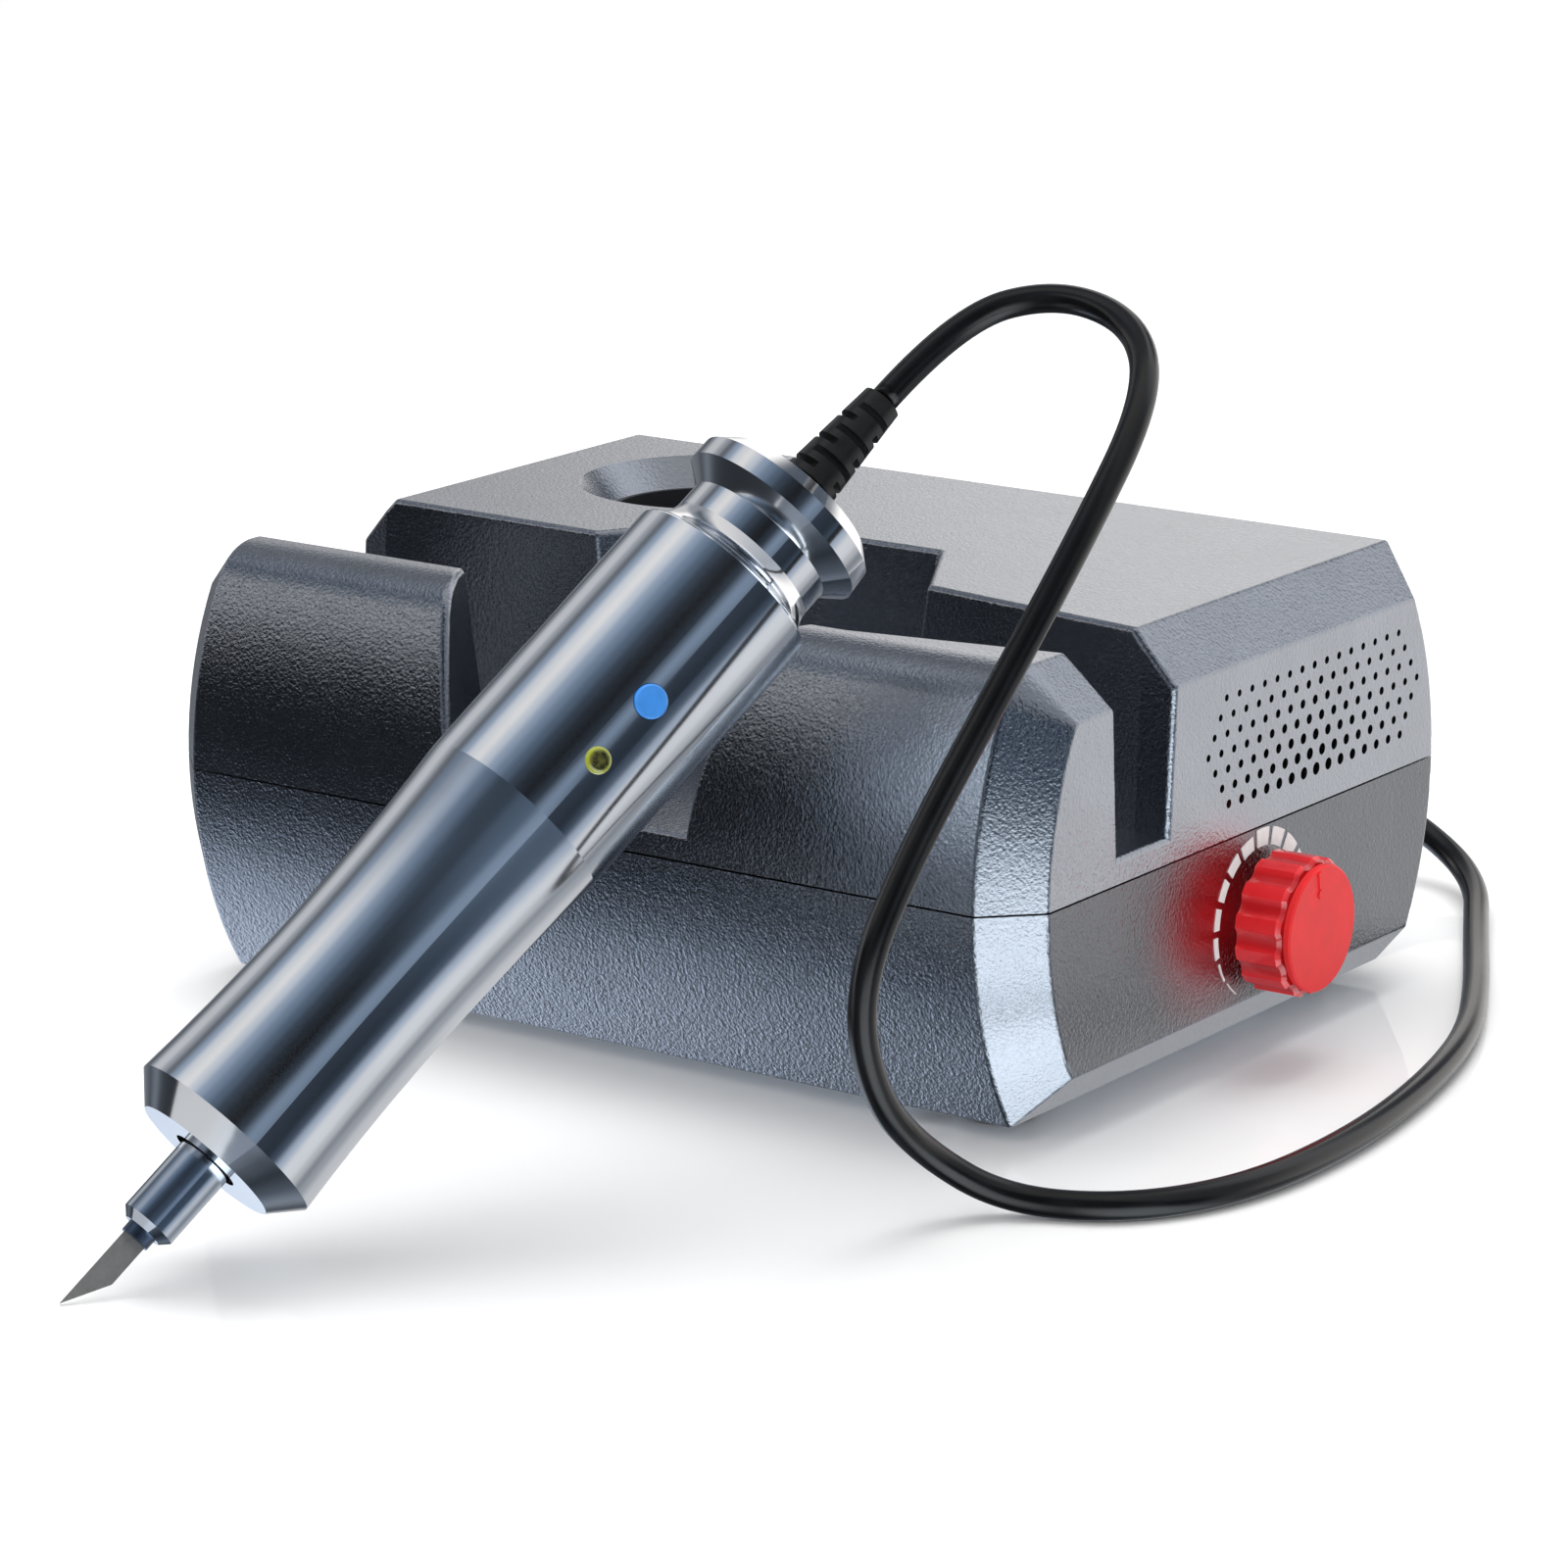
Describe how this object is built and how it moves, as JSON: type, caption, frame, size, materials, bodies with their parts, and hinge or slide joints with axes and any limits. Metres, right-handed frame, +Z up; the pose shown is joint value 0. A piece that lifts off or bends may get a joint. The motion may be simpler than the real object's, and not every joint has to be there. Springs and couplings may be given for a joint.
{
  "type": "ultrasonic cutter station",
  "caption": "Bench-top ultrasonic cutting station: boxy generator with a tool trough, holder well and power knob, corded to a thick pen-like metal handpiece with a knife blade.",
  "frame": {"origin": "on the table, under the middle of the generator's casing", "axes": "+X to the right along the generator's front, +Y from the front to the back, +Z up; the holder well opens along +Z"},
  "size_m": [0.1987, 0.2937, 0.1253],
  "materials": {
    "casing_upper": "fine leather-grain, semi-gloss metallic grey-blue",
    "casing_lower": "fine leather-grain, semi-gloss dark grey-blue",
    "well": "matt black",
    "feet": "matt black",
    "zinc_steel": "zinc plated",
    "print": "white print",
    "knob_red": "satin red",
    "knob_face": "satin red",
    "turned_steel": "turned",
    "pot_body": "moulded, zinc can",
    "nickel": "nickel plated",
    "black_plastic": "satin black",
    "rocker_black": "gloss black",
    "boot_black": "soft PVC, satin black",
    "cord_black": "PVC sheath, satin black",
    "board_green": "solder mask",
    "ferrite": "sintered ferrite",
    "choke_yellow": "enamelled toroid",
    "coil_tape": "yellow polyester tape",
    "black_anodised": "black anodised",
    "chip_black": "moulded epoxy",
    "capacitor_sleeve": "shrink sleeve",
    "connector_white": "nylon",
    "fan_black": "moulded",
    "barrel_metal": "turned, satin anodised",
    "cap_metal": "turned, satin anodised",
    "led_lens": "clear olive-yellow lens",
    "button_blue": "satin blue",
    "titanium": "turned titanium",
    "mass_steel": "turned steel",
    "seal_black": "nitrile rubber",
    "copper": "beryllium copper",
    "ceramic": "piezoelectric ceramic",
    "chuck_steel": "turned steel",
    "collet_steel": "turned steel",
    "blade_steel": "ground steel"
  },
  "bodies": {
    "station": {"upper_shell": "casing_upper", "lower_shell": "casing_lower", "holder_well": "well", "rubber_feet": "feet", "case_screws": "zinc_steel", "dial_scale": "print", "potentiometer": "pot_body", "bush_nut": "nickel", "power_switch": "black_plastic", "power_inlet": "black_plastic", "cord_gland": "boot_black", "driver_board": "board_green", "board_screws": "zinc_steel", "transformer_core": "ferrite", "transformer_coil": "coil_tape", "heatsink": "black_anodised", "power_transistors": "chip_black", "capacitors": "capacitor_sleeve", "filter_choke": "choke_yellow", "control_chips": "chip_black", "board_connectors": "connector_white", "fan_frame": "fan_black", "handpiece_cord": "cord_black"},
    "knob": {"power_knob": "knob_red", "knob_cap": "knob_face", "knob_shaft": "turned_steel"},
    "rocker": {"switch_rocker": "rocker_black"},
    "fan": {"fan_rotor": "fan_black"},
    "handpiece": {"barrel": "barrel_metal", "end_cap": "cap_metal", "strain_relief": "boot_black", "handpiece_board": "board_green", "tact_switch": "chip_black", "status_led": "led_lens", "horn": "titanium", "seal_rings": "seal_black", "electrodes": "copper", "piezo_rings": "ceramic", "back_mass": "mass_steel", "clamp_bolt": "turned_steel", "collet": "collet_steel", "blade": "blade_steel"},
    "button": {"trigger_button": "button_blue"},
    "chuck": {"chuck_nut": "chuck_steel"}
  },
  "joints": [
    {"name": "handpiece_lift", "type": "slide", "parent": "station", "child": "handpiece", "axis": [0, 0, 1], "range_m": [0, 0.06], "deforming": ["handpiece_cord"]},
    {"name": "knob_turn", "type": "hinge", "parent": "station", "child": "knob", "pos_m": [0.083, 0.0035, 0.0225], "axis": [-1, 0, 0], "range_deg": [-135, 145]},
    {"name": "power_rocker", "type": "hinge", "parent": "station", "child": "rocker", "pos_m": [-0.014, 0.0565, 0.021], "axis": [0, 0, -1], "range_deg": [0, 20]},
    {"name": "fan_spin", "type": "hinge", "parent": "station", "child": "fan", "pos_m": [0.069, 0.0186, 0.049], "axis": [1, 0, 0], "continuous": true},
    {"name": "trigger_press", "type": "slide", "parent": "handpiece", "child": "button", "axis": [-0.8223, 0.5207, -0.2297], "range_m": [0, 0.0005], "stiffness_N_per_m": 1500, "springref_m": -0.001},
    {"name": "chuck_nut_turn", "type": "hinge", "parent": "handpiece", "child": "chuck", "pos_m": [0.01353, -0.16857, 0.01283], "axis": [0.2753, 0.7173, 0.6401], "continuous": true}
  ]
}
